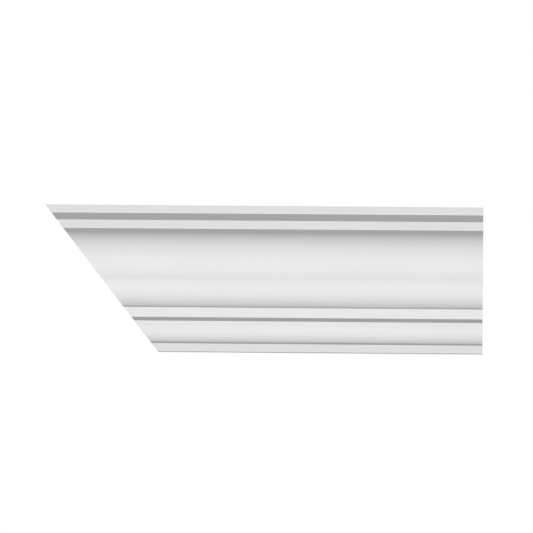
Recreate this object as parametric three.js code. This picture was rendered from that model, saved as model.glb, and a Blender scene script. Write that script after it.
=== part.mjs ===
// A length of room cornice, moulded in one piece. It sits in the corner between a wall and a ceiling.
// Millimetres. +X runs along the length, +Y goes into the wall, +Z is up.
// The origin is on the flat that lies on the wall, halfway up that flat and halfway along the length.
import * as THREE from 'three';

// The length, along the top front edge, which is the longest one
const LENGTH = 485;

// The face, member by member, from the wall edge at the bottom to the top edge at the ceiling
const WALL_EDGE = 3;
const BASE_FILLET = 9.5;
const OVOLO_QUIRK = 4.4;
const OVOLO_RADIUS = 18.5;
const OVOLO_FOOT_DEG = 77;
const OVOLO_LEAN_DEG = 10.7;
const OVOLO_RISE = 4.3;
const LOWER_SOFFIT = 9.6;
const LEANING_FILLET = 11;
const FILLET_LEAN_DEG = 15.2;
const CYMA_QUIRK = 2.6;
const CYMA_ROUND_RADIUS = 27.3;
const CYMA_FOOT_DEG = 78.6;
const CYMA_TURN_DEG = 4.1;
const CYMA_HOLLOW_RADIUS = 39.5;
const COVE_LEAD = 9.1;
const MIDDLE_FILLET = 10.1;
const UPPER_SOFFIT = 17.7;
const TOP_FILLET = 9.7;

// The back: a flat for the wall, a flat for the ceiling, and a slope at 45 degrees between them
const WALL_FLAT = 34;

// The cut at the left end, measured from a square cut: seen from the front, and seen from above
const CUT_LEAN_DEG = 36;
const CUT_PLAN_DEG = 16.2;

// Straight pieces in each round member
const ARC_STEPS = 20;

const radians = THREE.MathUtils.degToRad;

// The cross-section: x is the distance out from the wall, y is the height above the bottom edge
const outline = [new THREE.Vector2(0, 0)];

function here() {
  return outline[outline.length - 1];
}

function straight(out, up) {
  outline.push(new THREE.Vector2(here().x + out, here().y + up));
}

// A straight face that leans over by this angle from plumb
function leaning(length, lean) {
  straight(length * Math.sin(lean), length * Math.cos(lean));
}

// A convex member. The angles say how far the surface faces downwards: 0 faces the room, 90 degrees the floor.
function rounded(radius, from, to) {
  const centreX = here().x - radius * Math.cos(from);
  const centreY = here().y + radius * Math.sin(from);
  const arc = new THREE.ArcCurve(centreX, centreY, radius, -from, -to, false);
  outline.push(...arc.getPoints(ARC_STEPS).slice(1));
}

// A concave member, with the same angles
function hollow(radius, from, to) {
  const centreX = here().x + radius * Math.cos(from);
  const centreY = here().y - radius * Math.sin(from);
  const arc = new THREE.ArcCurve(centreX, centreY, radius, Math.PI - from, Math.PI - to, true);
  outline.push(...arc.getPoints(ARC_STEPS).slice(1));
}

const facingDown = Math.PI / 2;
const cymaTurn = radians(CYMA_TURN_DEG);
const ovoloLean = radians(OVOLO_LEAN_DEG);

// The base fillet against the wall
straight(WALL_EDGE, 0);
straight(0, BASE_FILLET);

// The ovolo
straight(OVOLO_QUIRK, 0);
rounded(OVOLO_RADIUS, radians(OVOLO_FOOT_DEG), ovoloLean);
leaning(OVOLO_RISE, ovoloLean);

// The leaning fillet and the soffit under it
straight(LOWER_SOFFIT, 0);
leaning(LEANING_FILLET, radians(FILLET_LEAN_DEG));

// The cyma: a round below that turns into a hollow above
straight(CYMA_QUIRK, 0);
rounded(CYMA_ROUND_RADIUS, radians(CYMA_FOOT_DEG), cymaTurn);
hollow(CYMA_HOLLOW_RADIUS, cymaTurn, facingDown);
straight(COVE_LEAD, 0);

// The two fillets at the top, with a soffit between them
straight(0, MIDDLE_FILLET);
straight(UPPER_SOFFIT, 0);
straight(0, TOP_FILLET);

// The ceiling flat and the back slope
const depth = here().x;
const height = here().y;
outline.push(new THREE.Vector2(height - WALL_FLAT, height));
outline.push(new THREE.Vector2(0, WALL_FLAT));

// The run, from the square end to the left end
const run = new THREE.ExtrudeGeometry(new THREE.Shape(outline), {
  depth: LENGTH,
  steps: 1,
  bevelEnabled: false,
});

// The left end is one flat diagonal cut: it takes more off lower down and nearer the wall
const corners = run.attributes.position;
for (let i = 0; i < corners.count; i += 1) {
  if (corners.getZ(i) > LENGTH / 2) {
    const behind = (depth - corners.getX(i)) * Math.tan(radians(CUT_PLAN_DEG));
    const below = (height - corners.getY(i)) * Math.tan(radians(CUT_LEAN_DEG));
    corners.setZ(i, LENGTH - behind - below);
  }
}
run.computeVertexNormals();

// Out from the wall is -Y, up is +Z, and the run goes from the right to the left
const intoRoom = new THREE.Vector3(0, -1, 0);
const upwards = new THREE.Vector3(0, 0, 1);
const leftwards = new THREE.Vector3(-1, 0, 0);
const inPlace = new THREE.Matrix4().makeBasis(intoRoom, upwards, leftwards);

const primedWhite = new THREE.MeshStandardMaterial({ color: 0xefefed, roughness: 0.75, metalness: 0 });

const moulding = new THREE.Mesh(run, primedWhite);
moulding.name = 'cornice_moulding';
moulding.quaternion.setFromRotationMatrix(inPlace);
moulding.position.set(LENGTH / 2, 0, -WALL_FLAT / 2);

const cornice = new THREE.Group();
cornice.add(moulding);

export default cornice;
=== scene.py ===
# A length of white room cornice: its finished mesh, its finishes, and the studio that it is seen in.
import math

import bmesh
import bpy
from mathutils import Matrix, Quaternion, Vector


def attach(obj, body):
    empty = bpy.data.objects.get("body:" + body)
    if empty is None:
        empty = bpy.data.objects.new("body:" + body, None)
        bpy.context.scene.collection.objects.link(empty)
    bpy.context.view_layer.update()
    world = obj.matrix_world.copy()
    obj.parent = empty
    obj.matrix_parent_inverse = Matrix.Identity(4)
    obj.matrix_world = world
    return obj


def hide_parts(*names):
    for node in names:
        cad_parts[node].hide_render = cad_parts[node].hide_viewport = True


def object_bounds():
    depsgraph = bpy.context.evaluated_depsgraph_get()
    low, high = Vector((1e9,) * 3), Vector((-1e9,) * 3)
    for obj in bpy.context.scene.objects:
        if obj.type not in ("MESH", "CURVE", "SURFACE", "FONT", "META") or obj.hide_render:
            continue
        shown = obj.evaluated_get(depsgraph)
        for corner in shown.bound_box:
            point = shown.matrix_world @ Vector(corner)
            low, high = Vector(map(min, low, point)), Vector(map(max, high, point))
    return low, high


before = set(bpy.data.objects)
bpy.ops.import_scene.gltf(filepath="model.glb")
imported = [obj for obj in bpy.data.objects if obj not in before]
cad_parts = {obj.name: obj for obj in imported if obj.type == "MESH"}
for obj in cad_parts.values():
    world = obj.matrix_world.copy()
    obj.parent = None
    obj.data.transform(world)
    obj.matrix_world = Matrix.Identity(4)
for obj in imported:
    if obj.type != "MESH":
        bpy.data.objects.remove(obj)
cad_low, cad_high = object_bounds()

MM = 0.001

# The face, member by member, from the wall edge at the bottom to the top edge at the ceiling
WALL_EDGE = 3 * MM
BASE_FILLET = 9.5 * MM
OVOLO_QUIRK = 4.4 * MM
OVOLO_RADIUS = 18.5 * MM
OVOLO_FOOT = math.radians(77)
OVOLO_LEAN = math.radians(10.7)
OVOLO_RISE = 4.3 * MM
LOWER_SOFFIT = 9.6 * MM
LEANING_FILLET = 11 * MM
FILLET_LEAN = math.radians(15.2)
CYMA_QUIRK = 2.6 * MM
CYMA_ROUND_RADIUS = 27.3 * MM
CYMA_FOOT = math.radians(78.6)
CYMA_TURN = math.radians(4.1)
CYMA_HOLLOW_RADIUS = 39.5 * MM
COVE_LEAD = 9.1 * MM
MIDDLE_FILLET = 10.1 * MM
UPPER_SOFFIT = 17.7 * MM
TOP_FILLET = 9.7 * MM
FACING_DOWN = math.radians(90)

# The flat for the wall, and the diagonal cut at the left end as seen from the front and from above
WALL_FLAT = 34 * MM
CUT_LEAN = math.radians(36)
CUT_PLAN = math.radians(16.2)

# The side of that cut which is kept, and the ways that the two sawn ends face
KEPT_SIDE = Vector((1, -math.tan(CUT_PLAN), math.tan(CUT_LEAN))).normalized()
SQUARE_END = Vector((1, 0, 0))
DIAGONAL_END = -KEPT_SIDE

# How far the moulded arrises, the inner corners and the sawn edges are softened
ARRIS_ROUND = 0.7 * MM
CORNER_FILL = 0.45 * MM
SAWN_EASE = 0.25 * MM
ROUND_STEPS = 4

# Straight pieces in each round member, and the angle past which an edge shows as an edge
ARC_STEPS = 36
CREASE = math.radians(32)

# Points nearer to each other than this are one point
SAME_PLACE = 0.01 * MM

# The cosine of the angle within which a face counts as facing a direction
SQUARE_ON = 0.99

# A face whose normal leans less than this towards the room and the floor is on a hidden side
HIDDEN_LEAN = 0.1


# The section is drawn by moving one point, so each step starts where the last one ended

def start_section(name):
    """One point at the foot of the wall flat, on the square end, in edit mode."""
    bpy.ops.object.select_all(action="DESELECT")
    bpy.ops.mesh.primitive_plane_add(size=MM, location=(cad_high.x - SAWN_EASE, cad_high.y, cad_low.z))
    piece = bpy.context.object
    piece.name = name
    bpy.ops.object.transform_apply(location=True, rotation=True, scale=True)
    bpy.ops.object.mode_set(mode="EDIT")
    bpy.ops.mesh.select_all(action="SELECT")
    bpy.ops.mesh.merge(type="CENTER")
    return piece


def pen(piece):
    """Where the drawing point is now."""
    drawn = bmesh.from_edit_mesh(piece.data)
    return next(point.co.copy() for point in drawn.verts if point.select)


def straight(out, up):
    """Draws a straight member, out from the wall and up."""
    bpy.ops.mesh.extrude_region_move(TRANSFORM_OT_translate={"value": (0, -out, up)})


def leaning(length, lean):
    """Draws a straight member that leans over by an angle from plumb."""
    straight(length * math.sin(lean), length * math.cos(lean))


def curved(piece, radius, start, end):
    """Draws a round member. The angles say how far it faces down: 0 is the room, 90 degrees the floor.
    It is convex where the angle falls and hollow where it grows."""
    side = 1 if end > start else -1
    faces = Vector((0, -math.cos(start), -math.sin(start)))
    centre = pen(piece) + side * radius * faces
    bpy.ops.mesh.spin(steps=ARC_STEPS, angle=start - end, center=centre, axis=(1, 0, 0))


def draw_section(piece):
    """Draws the face upwards and the back downwards.
    Gives the places of the arrises and those of the inner corners."""
    arrises = [pen(piece)]
    inner_corners = []

    def mark_arris():
        arrises.append(pen(piece))

    def mark_inner_corner():
        inner_corners.append(pen(piece))

    # The base fillet against the wall
    straight(WALL_EDGE, 0)
    mark_arris()
    straight(0, BASE_FILLET)
    mark_inner_corner()

    # The ovolo
    straight(OVOLO_QUIRK, 0)
    curved(piece, OVOLO_RADIUS, OVOLO_FOOT, OVOLO_LEAN)
    leaning(OVOLO_RISE, OVOLO_LEAN)
    mark_inner_corner()

    # The leaning fillet and the soffit under it
    straight(LOWER_SOFFIT, 0)
    mark_arris()
    leaning(LEANING_FILLET, FILLET_LEAN)
    mark_inner_corner()

    # The cyma: a round below that turns into a hollow above
    straight(CYMA_QUIRK, 0)
    curved(piece, CYMA_ROUND_RADIUS, CYMA_FOOT, CYMA_TURN)
    curved(piece, CYMA_HOLLOW_RADIUS, CYMA_TURN, FACING_DOWN)
    straight(COVE_LEAD, 0)
    mark_arris()

    # The two fillets at the top, with a soffit between them
    straight(0, MIDDLE_FILLET)
    mark_inner_corner()
    straight(UPPER_SOFFIT, 0)
    mark_arris()
    straight(0, TOP_FILLET)
    mark_arris()

    # The ceiling flat, the slope at 45 degrees and the wall flat
    slope = cad_high.z - cad_low.z - WALL_FLAT
    straight(slope + pen(piece).y, 0)
    mark_arris()
    straight(-slope, -slope)
    mark_arris()
    straight(0, -WALL_FLAT)

    # The outline is closed and filled
    bpy.ops.mesh.select_all(action="SELECT")
    bpy.ops.mesh.remove_doubles(threshold=SAME_PLACE)
    bpy.ops.mesh.edge_face_add()
    return arrises, inner_corners


def soften(piece, corners, amount):
    """Rounds the corners of the flat section that are at these places."""
    drawn = bmesh.from_edit_mesh(piece.data)
    for point in drawn.verts:
        point.select_set(any((point.co - place).length < SAME_PLACE for place in corners))
    drawn.select_flush(False)
    bmesh.update_edit_mesh(piece.data)
    bpy.ops.mesh.bevel(offset=amount, segments=ROUND_STEPS, affect="VERTICES")


def select_end(piece, facing):
    """Selects only the end face that faces this way."""
    bpy.ops.mesh.select_all(action="DESELECT")
    drawn = bmesh.from_edit_mesh(piece.data)
    for face in drawn.faces:
        if face.normal.dot(facing) > SQUARE_ON:
            face.select_set(True)
    bmesh.update_edit_mesh(piece.data)


def model_moulding():
    """The whole length: the section drawn out along the run, cut at the left, with softened edges."""
    piece = start_section("cornice_length")
    arrises, inner_corners = draw_section(piece)
    soften(piece, arrises, ARRIS_ROUND)
    soften(piece, inner_corners, CORNER_FILL)

    bpy.ops.mesh.select_all(action="SELECT")
    bpy.ops.mesh.extrude_region_move(TRANSFORM_OT_translate={"value": (cad_low.x - cad_high.x, 0, 0)})
    bpy.ops.mesh.select_all(action="SELECT")
    bpy.ops.mesh.normals_make_consistent(inside=False)

    longest_corner = Vector((cad_low.x, cad_low.y, cad_high.z))
    cut = longest_corner + KEPT_SIDE * SAWN_EASE
    bpy.ops.mesh.bisect(plane_co=cut, plane_no=KEPT_SIDE, use_fill=True, clear_inner=True)

    for facing in (SQUARE_END, DIAGONAL_END):
        select_end(piece, facing)
        bpy.ops.mesh.inset(thickness=SAWN_EASE, depth=SAWN_EASE)
    bpy.ops.object.mode_set(mode="OBJECT")
    bpy.ops.object.shade_smooth_by_angle(angle=CREASE)
    bpy.ops.object.modifier_add(type="WEIGHTED_NORMAL")
    piece.modifiers[-1].keep_sharp = True
    bpy.ops.object.modifier_apply(modifier=piece.modifiers[-1].name)
    return piece


# What the finishes are made of

# Nearly all of a cloud pattern lies between these two values
CLOUD_LOW = 0.3
CLOUD_HIGH = 0.7

# How much of a hole's width is its flat bottom
HOLE_BOTTOM = 0.6

# Where a Mix node keeps its two colours and its result, among sockets that share their names
MIX_UNDER = 6
MIX_OVER = 7
MIX_RESULT = 2


def new_finish(name):
    """A material with its shader and its place on the object, ready for patterns."""
    material = bpy.data.materials.new(name)
    material.use_nodes = True
    tree = material.node_tree
    shader = tree.nodes["Principled BSDF"]
    place = tree.nodes.new("ShaderNodeTexCoord")
    return material, tree, shader, place.outputs["Object"]


def axes_of(tree, place):
    """A place split into its X, Y and Z."""
    split = tree.nodes.new("ShaderNodeSeparateXYZ")
    tree.links.new(place, split.inputs["Vector"])
    return split.outputs


def ranged(tree, amount, low, high, start=CLOUD_LOW, end=CLOUD_HIGH):
    """Takes a pattern's values from start to end and gives low to high."""
    steps = tree.nodes.new("ShaderNodeMapRange")
    steps.inputs["From Min"].default_value = start
    steps.inputs["From Max"].default_value = end
    steps.inputs["To Min"].default_value = low
    steps.inputs["To Max"].default_value = high
    tree.links.new(amount, steps.inputs["Value"])
    return steps.outputs["Result"]


def clouds(tree, place, patch, drawn_out=1, detail=2):
    """Soft patches about as large as patch, drawn out along the run."""
    stretch = tree.nodes.new("ShaderNodeMapping")
    stretch.inputs["Scale"].default_value = (1 / drawn_out, 1, 1)
    tree.links.new(place, stretch.inputs["Vector"])
    noise = tree.nodes.new("ShaderNodeTexNoise")
    noise.inputs["Scale"].default_value = 1 / patch
    noise.inputs["Detail"].default_value = detail
    tree.links.new(stretch.outputs["Vector"], noise.inputs["Vector"])
    return noise.outputs["Fac"]


def pits(tree, place, spacing, width):
    """Round holes scattered at about this spacing: 1 in the middle of a hole and 0 between the holes."""
    scatter = tree.nodes.new("ShaderNodeTexVoronoi")
    scatter.inputs["Scale"].default_value = 1 / spacing
    tree.links.new(place, scatter.inputs["Vector"])
    rim = width / 2 / spacing
    return ranged(tree, scatter.outputs["Distance"], 1, 0, HOLE_BOTTOM * rim, rim)


def combined(tree, operation, first, second):
    """Two patterns put together by an operation such as MULTIPLY or MAXIMUM."""
    together = tree.nodes.new("ShaderNodeMath")
    together.operation = operation
    tree.links.new(first, together.inputs[0])
    tree.links.new(second, together.inputs[1])
    return together.outputs["Value"]


def tinted(tree, amount, under, over):
    """A colour that goes from under to over with a pattern. Each is a colour or another tint."""
    tint = tree.nodes.new("ShaderNodeMix")
    tint.data_type = "RGBA"
    tree.links.new(amount, tint.inputs["Factor"])
    for socket, colour in ((tint.inputs[MIX_UNDER], under), (tint.inputs[MIX_OVER], over)):
        if isinstance(colour, tuple):
            socket.default_value = (*colour, 1)
        else:
            tree.links.new(colour, socket)
    return tint.outputs[MIX_RESULT]


def raised(tree, height, depth, onto=None):
    """Relief of this depth from a pattern, on top of other relief."""
    bump = tree.nodes.new("ShaderNodeBump")
    bump.inputs["Distance"].default_value = depth
    tree.links.new(height, bump.inputs["Height"])
    if onto:
        tree.links.new(onto, bump.inputs["Normal"])
    return bump.outputs["Normal"]


def surfaced(tree, shader, colour, roughness, sheen, relief):
    """Gives a shader its patterns of colour, roughness and relief, and one even sheen."""
    tree.links.new(colour, shader.inputs["Base Color"])
    tree.links.new(roughness, shader.inputs["Roughness"])
    tree.links.new(relief, shader.inputs["Normal"])
    shader.inputs["Specular IOR Level"].default_value = sheen


# The finishes. Each pair of values goes from the dull or thin patches to the clean or full ones.

# The primer: faint clouds, streaks along the run, and a fine peel
PRIMER_THIN = (0.845, 0.845, 0.843)
PRIMER_FULL = (0.872, 0.872, 0.871)
PRIMER_ROUGH = (0.85, 0.72)
PRIMER_SHEEN = 0.2
COAT_PATCH = 35 * MM
COAT_COVER = (0.5, 1)
STREAK_WIDTH = 2.2 * MM
STREAK_COVER = (0.4, 1)
STREAK_RELIEF = 0.02 * MM
PEEL_PATCH = 1.4 * MM
PEEL_RELIEF = 0.015 * MM

# The moulded skin: mottled patches, flow marks along the run, and pits left by air, darkened inside with
# painted shade
SKIN_DULL = (0.7, 0.685, 0.635)
SKIN_CLEAN = (0.8, 0.79, 0.75)
SKIN_PIT_SHADE = (0.48, 0.46, 0.41)
SKIN_ROUGH = (0.95, 0.8)
SKIN_SHEEN = 0.06
SKIN_PATCH = 22 * MM
FLOW_WIDTH = 5 * MM
FLOW_COVER = (0.45, 1)
FLOW_RELIEF = 0.06 * MM
PIT_SPACING = 9 * MM
PIT_WIDTH = 1.6 * MM
PIT_DEPTH = 0.4 * MM

# The primer that drifted over the edges of the face: how far it reaches, how thick it is at the edge,
# how uneven it is in patches and in specks, and how thick it has to be to show
DRIFT_REACH = 11 * MM
DRIFT_AT_EDGE = 1.5
DRIFT_PATCH = 16 * MM
DRIFT_UNEVEN = 0.25
SPECK_PATCH = 0.8 * MM
SPECK_UNEVEN = 0.2
DRIFT_SHOWS = 0.35

# The sawn core: soft patches, small and large cells that the saw opened, darkened inside with painted
# shade, and its own lines
CORE_DULL = (0.74, 0.722, 0.665)
CORE_CLEAN = (0.85, 0.835, 0.79)
CORE_CELL_SHADE = (0.57, 0.545, 0.48)
CORE_ROUGH = (0.95, 0.8)
CORE_SHEEN = 0.2
CORE_PATCH = 9 * MM
CELL_SPACING = 1.3 * MM
CELL_WIDTH = 0.9 * MM
SMALL_CELL_SHADE = 0.4
LARGE_CELL_SPACING = 7 * MM
LARGE_CELL_WIDTH = 1.5 * MM
CELL_DEPTH = 0.2 * MM
SAW_PITCH = 3 * MM
SAW_WANDER = 1.2
SAW_TINT = 0.2
SAW_RELIEF = 0.05 * MM
BLADE_CENTRE = (0, -20 * MM, 240 * MM)

# At a scale of 1 the wave pattern repeats every tau / 20
WAVE_RATE = 20

# The dense rim of the core: how near the outside it starts, and how clear of the outside a place is
# where the rim is full and where it has ended
RIM_DEPTH = 4 * MM
RIM_FULL = 0.55
RIM_ENDED = 0.95


def primed_white():
    """Matt white primer, sprayed on the face."""
    material, tree, shader, place = new_finish("primed_white")
    coat = clouds(tree, place, COAT_PATCH, drawn_out=3)
    streaks = clouds(tree, place, STREAK_WIDTH, drawn_out=60)
    peel = clouds(tree, place, PEEL_PATCH, detail=1)
    cover = ranged(tree, coat, *COAT_COVER)
    cover = combined(tree, "MULTIPLY", cover, ranged(tree, streaks, *STREAK_COVER))
    colour = tinted(tree, cover, PRIMER_THIN, PRIMER_FULL)
    relief = raised(tree, peel, PEEL_RELIEF, raised(tree, streaks, STREAK_RELIEF))
    surfaced(tree, shader, colour, ranged(tree, coat, *PRIMER_ROUGH), PRIMER_SHEEN, relief)
    return material


def drifted_primer(tree, place):
    """How much primer covers the hidden sides: full at the edges of the face, and patchy further in."""
    axes = axes_of(tree, place)
    near_top_edge = ranged(tree, axes["Y"], DRIFT_AT_EDGE, 0, cad_low.y, cad_low.y + DRIFT_REACH)
    near_bottom_edge = ranged(tree, axes["Z"], DRIFT_AT_EDGE, 0, cad_low.z, cad_low.z + DRIFT_REACH)
    drift = combined(tree, "MAXIMUM", near_top_edge, near_bottom_edge)
    patches = clouds(tree, place, DRIFT_PATCH, drawn_out=2)
    specks = clouds(tree, place, SPECK_PATCH, detail=3)
    drift = combined(tree, "ADD", drift, ranged(tree, patches, -DRIFT_UNEVEN, DRIFT_UNEVEN))
    drift = combined(tree, "ADD", drift, ranged(tree, specks, -SPECK_UNEVEN, SPECK_UNEVEN))
    return ranged(tree, drift, 0, 1, DRIFT_SHOWS, 1)


def moulded_skin():
    """The unpainted skin of the back, with primer that drifted over from the face."""
    material, tree, shader, place = new_finish("moulded_skin")
    mottle = clouds(tree, place, SKIN_PATCH, drawn_out=2, detail=5)
    flow = clouds(tree, place, FLOW_WIDTH, drawn_out=9, detail=3)
    holes = pits(tree, place, PIT_SPACING, PIT_WIDTH)
    clean = combined(tree, "MULTIPLY", ranged(tree, mottle, 0, 1), ranged(tree, flow, *FLOW_COVER))
    # The pits are darkened with painted shade, which stands in for the shade inside each hole
    skin = tinted(tree, holes, tinted(tree, clean, SKIN_DULL, SKIN_CLEAN), SKIN_PIT_SHADE)
    colour = tinted(tree, drifted_primer(tree, place), skin, PRIMER_FULL)
    height = combined(tree, "SUBTRACT", ranged(tree, flow, 0, FLOW_RELIEF / PIT_DEPTH), holes)
    relief = raised(tree, height, PIT_DEPTH)
    surfaced(tree, shader, colour, ranged(tree, mottle, *SKIN_ROUGH), SKIN_SHEEN, relief)
    return material


def saw_marks(tree, place):
    """The arcs that a round saw blade leaves on a cut end."""
    from_blade = tree.nodes.new("ShaderNodeMapping")
    from_blade.vector_type = "TEXTURE"
    from_blade.inputs["Location"].default_value = BLADE_CENTRE
    tree.links.new(place, from_blade.inputs["Vector"])
    arcs = tree.nodes.new("ShaderNodeTexWave")
    arcs.wave_type = "RINGS"
    arcs.rings_direction = "X"
    arcs.inputs["Scale"].default_value = math.tau / WAVE_RATE / SAW_PITCH
    arcs.inputs["Distortion"].default_value = SAW_WANDER
    tree.links.new(from_blade.outputs["Vector"], arcs.inputs["Vector"])
    return arcs.outputs["Fac"]


def dense_rim(tree):
    """How near a place on a cut end is to the outside of the moulding."""
    nearby = tree.nodes.new("ShaderNodeAmbientOcclusion")
    nearby.inside = True
    nearby.only_local = True
    nearby.inputs["Distance"].default_value = RIM_DEPTH
    return ranged(tree, nearby.outputs["AO"], 1, 0, RIM_FULL, RIM_ENDED)


def sawn_core():
    """The cut ends: a fine closed-cell core with saw lines, and a denser, whiter skin round the edge."""
    material, tree, shader, place = new_finish("sawn_core")
    mottle = clouds(tree, place, CORE_PATCH, detail=4)
    cells = pits(tree, place, CELL_SPACING, CELL_WIDTH)
    large_cells = pits(tree, place, LARGE_CELL_SPACING, LARGE_CELL_WIDTH)
    saw_lines = saw_marks(tree, place)
    lines = ranged(tree, saw_lines, 0, SAW_TINT, 0, 1)
    clean = combined(tree, "ADD", ranged(tree, mottle, 0, 1 - SAW_TINT), lines)
    # The open cells are darkened with painted shade, which stands in for the shade inside each hole:
    # small cells by part of it, large cells fully
    open_cells = combined(tree, "MAXIMUM", ranged(tree, cells, 0, SMALL_CELL_SHADE, 0, 1), large_cells)
    core = tinted(tree, open_cells, tinted(tree, clean, CORE_DULL, CORE_CLEAN), CORE_CELL_SHADE)
    colour = tinted(tree, dense_rim(tree), core, PRIMER_FULL)
    relief = raised(tree, open_cells, -CELL_DEPTH, raised(tree, saw_lines, SAW_RELIEF))
    surfaced(tree, shader, colour, ranged(tree, mottle, *CORE_ROUGH), CORE_SHEEN, relief)
    return material


def give_finishes(piece):
    """The face is primed, the hidden sides keep their moulded skin, and the ends show the sawn core."""
    primed, skin, core = range(3)
    for finish in (primed_white(), moulded_skin(), sawn_core()):
        piece.data.materials.append(finish)
    for face in piece.data.polygons:
        if max(face.normal.dot(SQUARE_END), face.normal.dot(DIAGONAL_END)) > SQUARE_ON:
            face.material_index = core
        elif max(-face.normal.y, -face.normal.z) < HIDDEN_LEAN:
            face.material_index = skin
        else:
            face.material_index = primed


# The studio

# The camera looks up at the face, stands in line with the square end, and is tipped a little.
# The lens and its sensor are in millimetres.
VIEW_RISE = math.radians(26.5)
VIEW_ROLL = math.radians(1.464)
TOWARDS_VIEWER = Vector((0, -math.cos(VIEW_RISE), -math.sin(VIEW_RISE)))
AIM = Vector((2 * MM, -62.75 * MM, 59.5 * MM))
CAMERA_DISTANCE = 6.666
CAMERA_REACH = 100
LENS = 405.25
SENSOR = 36

# The soft light by the camera, in metres and watts
KEY_DISTANCE = 4
KEY_SIZE = 0.8
KEY_POWER = 154

# The room's own light: its strength level with the moulding and overhead, how many times stronger it
# is straight out from each end, where on the way there it starts to grow, and how softly it fades in
WHITE = (1, 1, 1)
GLOW_LEVEL = 0.62
GLOW_OVERHEAD = 1.24
GLOW_LEFT = 17
GLOW_RIGHT = 11
GLOW_ENDS_FROM = 0.75
GLOW_FADE = 0.1

# The floor is as far below the cornice as in a high room
FLOOR_LEVEL = -3.8
FLOOR_SIZE = 80
FLOOR_PATCH = 0.4
FLOOR_DULL = (0.69, 0.69, 0.69)
FLOOR_CLEAN = (0.72, 0.72, 0.72)


def look_at(thing, target):
    """Turns a camera or light to look at a place."""
    thing.rotation_mode = "QUATERNION"
    thing.rotation_quaternion = (target - thing.location).to_track_quat("-Z", "Y")


def stand_camera():
    """The long lens that gives the photograph's view."""
    place = AIM + TOWARDS_VIEWER * CAMERA_DISTANCE
    bpy.ops.object.camera_add(location=(cad_high.x, place.y, place.z))
    camera = bpy.context.object
    look_at(camera, AIM)
    camera.rotation_quaternion @= Quaternion((0, 0, 1), VIEW_ROLL)
    camera.data.lens = LENS
    camera.data.sensor_width = SENSOR
    camera.data.clip_end = CAMERA_REACH
    bpy.context.scene.camera = camera


def light_face():
    """One soft light by the camera, which doesn't show itself. Only its direct light counts, so every
    member of the face keeps its own plain tone."""
    bpy.ops.object.light_add(type="AREA", location=AIM + TOWARDS_VIEWER * KEY_DISTANCE)
    key = bpy.context.object
    key.name = "key_light"
    key.data.size = KEY_SIZE
    key.data.energy = KEY_POWER
    key.data.cycles.max_bounces = 0
    key.visible_camera = False
    look_at(key, AIM)


def room_glow(tree):
    """Light from above and behind, which reaches only the hidden sides, the sawn ends and the floor.
    It is stronger overhead and straight out from both ends."""
    directions = tree.nodes.new("ShaderNodeTexCoord")
    axes = axes_of(tree, directions.outputs["Generated"])
    behind = ranged(tree, axes["Y"], 0, 1, 0, GLOW_FADE)
    above = ranged(tree, axes["Z"], 0, 1, 0, GLOW_FADE)
    overhead = ranged(tree, axes["Z"], GLOW_LEVEL, GLOW_OVERHEAD, 0, 1)
    at_left = ranged(tree, axes["X"], GLOW_LEFT, 1, -1, -GLOW_ENDS_FROM)
    at_right = ranged(tree, axes["X"], 1, GLOW_RIGHT, GLOW_ENDS_FROM, 1)
    glow = behind
    for share in (above, overhead, at_left, at_right):
        glow = combined(tree, "MULTIPLY", glow, share)
    return glow


def white_room():
    """A background that looks plain white and lights the room with its glow."""
    world = bpy.data.worlds.new("white_room")
    bpy.context.scene.world = world
    world.use_nodes = True
    tree = world.node_tree
    seen = tree.nodes.new("ShaderNodeLightPath")
    shown = tinted(tree, seen.outputs["Is Camera Ray"], room_glow(tree), WHITE)
    tree.links.new(shown, tree.nodes["Background"].inputs["Color"])

    # White shows as pure white
    bpy.context.scene.view_settings.view_transform = "Standard"


def lay_floor():
    """The pale floor, which throws no light back up at the face."""
    bpy.ops.object.select_all(action="DESELECT")
    bpy.ops.mesh.primitive_plane_add(size=FLOOR_SIZE, location=(0, 0, FLOOR_LEVEL))
    floor = bpy.context.object
    floor.name = "floor"
    floor.visible_diffuse = False
    floor.visible_glossy = False
    material, tree, shader, place = new_finish("pale_floor")
    shade = ranged(tree, clouds(tree, place, FLOOR_PATCH), 0, 1)
    tree.links.new(tinted(tree, shade, FLOOR_DULL, FLOOR_CLEAN), shader.inputs["Base Color"])
    shader.inputs["Roughness"].default_value = 1
    shader.inputs["Specular IOR Level"].default_value = 0
    floor.data.materials.append(material)


stand_camera()
light_face()
white_room()
lay_floor()

moulding = model_moulding()
give_finishes(moulding)
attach(moulding, "root")
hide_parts("cornice_moulding")
